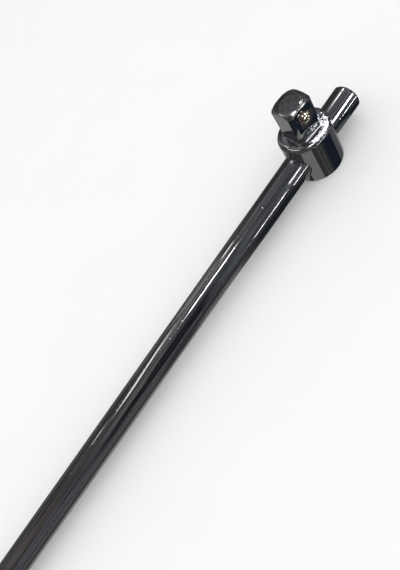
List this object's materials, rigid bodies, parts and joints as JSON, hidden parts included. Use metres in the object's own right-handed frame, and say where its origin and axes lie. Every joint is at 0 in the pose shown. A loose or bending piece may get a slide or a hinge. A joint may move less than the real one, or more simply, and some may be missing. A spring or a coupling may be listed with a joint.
{
  "type": "sliding t-handle wrench",
  "caption": "Sliding T-handle wrench: a round chromed bar slides and turns in a cross-bored head that has a male square drive with a sprung ball detent.",
  "frame": {"origin": "centre of the head's flat base, on the axis of the square drive", "axes": "+Z from the base towards the square's tip, +X along the bar towards the end nearer to the head at rest"},
  "size_m": [0.3, 0.0236, 0.0386],
  "materials": {
    "bar_chrome": "mirror chrome over steel, with fine handling scratches, smudges and tiny pits",
    "head_chrome": "mirror chrome over steel, with fine handling scratches, smudges and tiny pits",
    "ball_steel": "polished bearing ball",
    "spring_steel": "drawn wire",
    "plug_steel": "turned and plated",
    "ring_rubber": "matt black rubber"
  },
  "bodies": {
    "bar": {"slide_bar": "bar_chrome"},
    "grip_ring": {"bar_grip_ring": "ring_rubber"},
    "head": {"drive_head": "head_chrome", "base_plug": "plug_steel", "bar_detent_spring": "spring_steel", "socket_detent_spring": "spring_steel"},
    "bar_ball": {"bar_detent_ball": "ball_steel"},
    "socket_ball": {"socket_detent_ball": "ball_steel"}
  },
  "joints": [
    {"name": "head_slide", "type": "slide", "parent": "bar", "child": "grip_ring", "axis": [-1, 0, 0], "range_m": [0, 0.2446]},
    {"name": "head_swivel", "type": "hinge", "parent": "grip_ring", "child": "head", "pos_m": [0, 0, 0.01007], "axis": [1, 0, 0], "continuous": true},
    {"name": "bar_ball_click", "type": "slide", "parent": "head", "child": "bar_ball", "axis": [0, 0, -1], "range_m": [0, 0.00045], "stiffness_N_per_m": 1500, "springref_m": 0.0024, "deforming": ["bar_detent_spring"]},
    {"name": "socket_ball_press", "type": "slide", "parent": "head", "child": "socket_ball", "axis": [0.1271, 0.9919, 0], "range_m": [0, 0.0013], "stiffness_N_per_m": 2500, "springref_m": -0.002, "deforming": ["socket_detent_spring"]}
  ]
}
